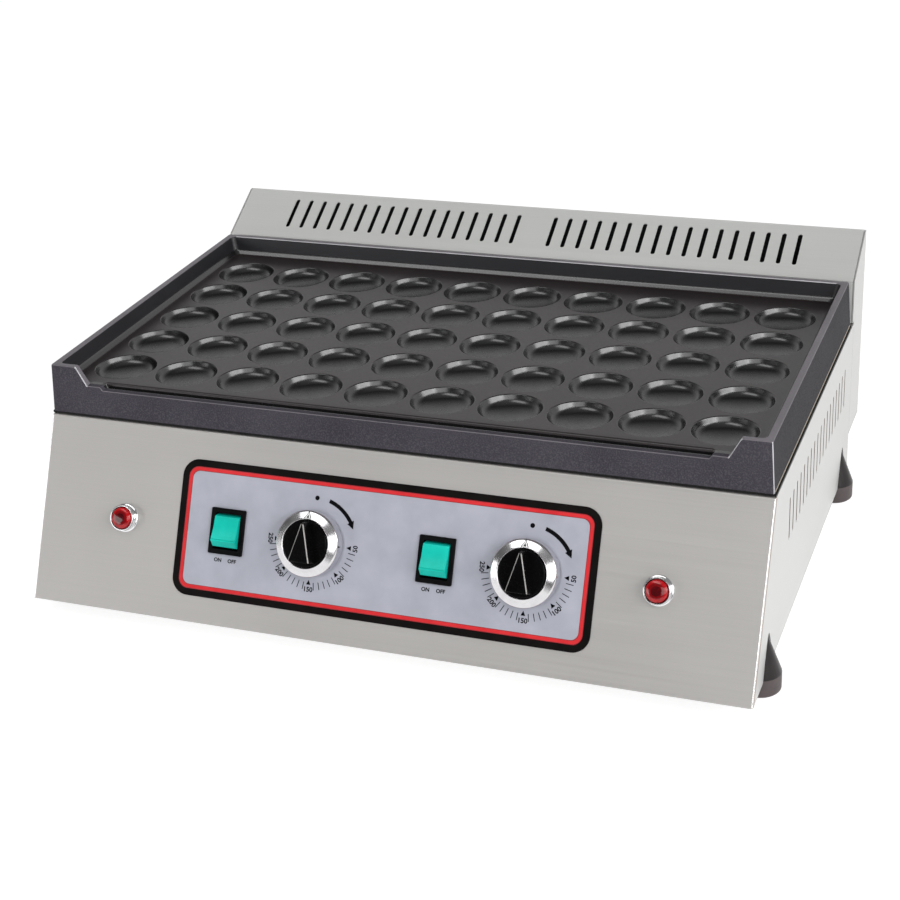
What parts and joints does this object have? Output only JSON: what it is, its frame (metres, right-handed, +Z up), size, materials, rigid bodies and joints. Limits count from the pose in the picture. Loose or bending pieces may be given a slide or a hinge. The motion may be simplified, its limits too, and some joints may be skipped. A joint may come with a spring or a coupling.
{
  "type": "small pancake griddle",
  "caption": "Open countertop griddle: a dark cast plate of round cups on a steel casing with a sloping control panel and a slotted vent behind.",
  "frame": {"origin": "on the table, under the middle of the whole outline", "axes": "+X to the right as seen from the controls, +Y from the controls to the vent, +Z up"},
  "size_m": [0.559, 0.416, 0.2006],
  "materials": {
    "coated_casting": "dark non-stick coating over a fine cast grain",
    "brushed_sheet": "satin stainless sheet",
    "seal": "black heat-proof seal",
    "printed_overlay": "grey printed sheet with black border and red line",
    "black_moulding": "satin black",
    "green_moulding": "glossy sea green",
    "bright_metal": "bright plated",
    "red_lens": "clear red",
    "plain_brass": "plain",
    "pale_moulding": "pale heat-proof moulding",
    "element_sheath": "dark heat-stained steel",
    "tray_sheet": "plain sheet",
    "mineral_fibre": "soft pale fibre",
    "copper_tube": "plain copper",
    "foot_rubber": "matt brown-grey",
    "screw_steel": "plain steel"
  },
  "bodies": {
    "casing": {"cooking_plate": "coated_casting", "deck_frame": "brushed_sheet", "front_panel": "brushed_sheet", "left_side_panel": "brushed_sheet", "right_side_panel": "brushed_sheet", "back_panel": "brushed_sheet", "base_plate": "brushed_sheet", "vent_ramp": "brushed_sheet", "left_duct_cheek": "brushed_sheet", "right_duct_cheek": "brushed_sheet", "duct_back": "brushed_sheet", "deck_gasket": "seal", "control_overlay": "printed_overlay", "left_switch_housing": "black_moulding", "right_switch_housing": "black_moulding", "cable_gland": "black_moulding", "gland_nut": "black_moulding", "left_lamp_bezel": "bright_metal", "right_lamp_bezel": "bright_metal", "left_lamp_lens": "red_lens", "right_lamp_lens": "red_lens", "thermostat_nuts": "plain_brass", "lamp_nuts": "plain_brass", "spade_terminals": "plain_brass", "left_thermostat": "pale_moulding", "right_thermostat": "pale_moulding", "terminal_block": "pale_moulding", "left_heating_element": "element_sheath", "right_heating_element": "element_sheath", "reflector_tray": "tray_sheet", "element_clamps": "tray_sheet", "insulation_blanket": "mineral_fibre", "left_heat_sensor": "copper_tube", "right_heat_sensor": "copper_tube", "front_left_foot": "foot_rubber", "front_right_foot": "foot_rubber", "rear_left_foot": "foot_rubber", "rear_right_foot": "foot_rubber", "foot_screws": "screw_steel", "plate_bolts": "screw_steel", "tray_screws": "screw_steel", "duct_screws": "screw_steel"},
    "left_knob": {"left_knob_grip": "black_moulding", "left_knob_ring": "bright_metal", "left_spindle": "plain_brass"},
    "right_knob": {"right_knob_grip": "black_moulding", "right_knob_ring": "bright_metal", "right_spindle": "plain_brass"},
    "left_switch": {"left_rocker": "green_moulding"},
    "right_switch": {"right_rocker": "green_moulding"}
  },
  "joints": [
    {"name": "left_knob_turn", "type": "hinge", "parent": "casing", "child": "left_knob", "pos_m": [-0.0503, -0.17822, 0.0759], "axis": [0, 0.8973, -0.4414], "range_deg": [0, 270]},
    {"name": "right_knob_turn", "type": "hinge", "parent": "casing", "child": "right_knob", "pos_m": [0.1089, -0.17822, 0.0759], "axis": [0, 0.8973, -0.4414], "range_deg": [0, 270]},
    {"name": "left_rocker_tilt", "type": "hinge", "parent": "casing", "child": "left_switch", "pos_m": [-0.1169, -0.17552, 0.07458], "axis": [1, 0, 0], "range_deg": [0, 26]},
    {"name": "right_rocker_tilt", "type": "hinge", "parent": "casing", "child": "right_switch", "pos_m": [0.0428, -0.17552, 0.07458], "axis": [1, 0, 0], "range_deg": [0, 26]}
  ]
}
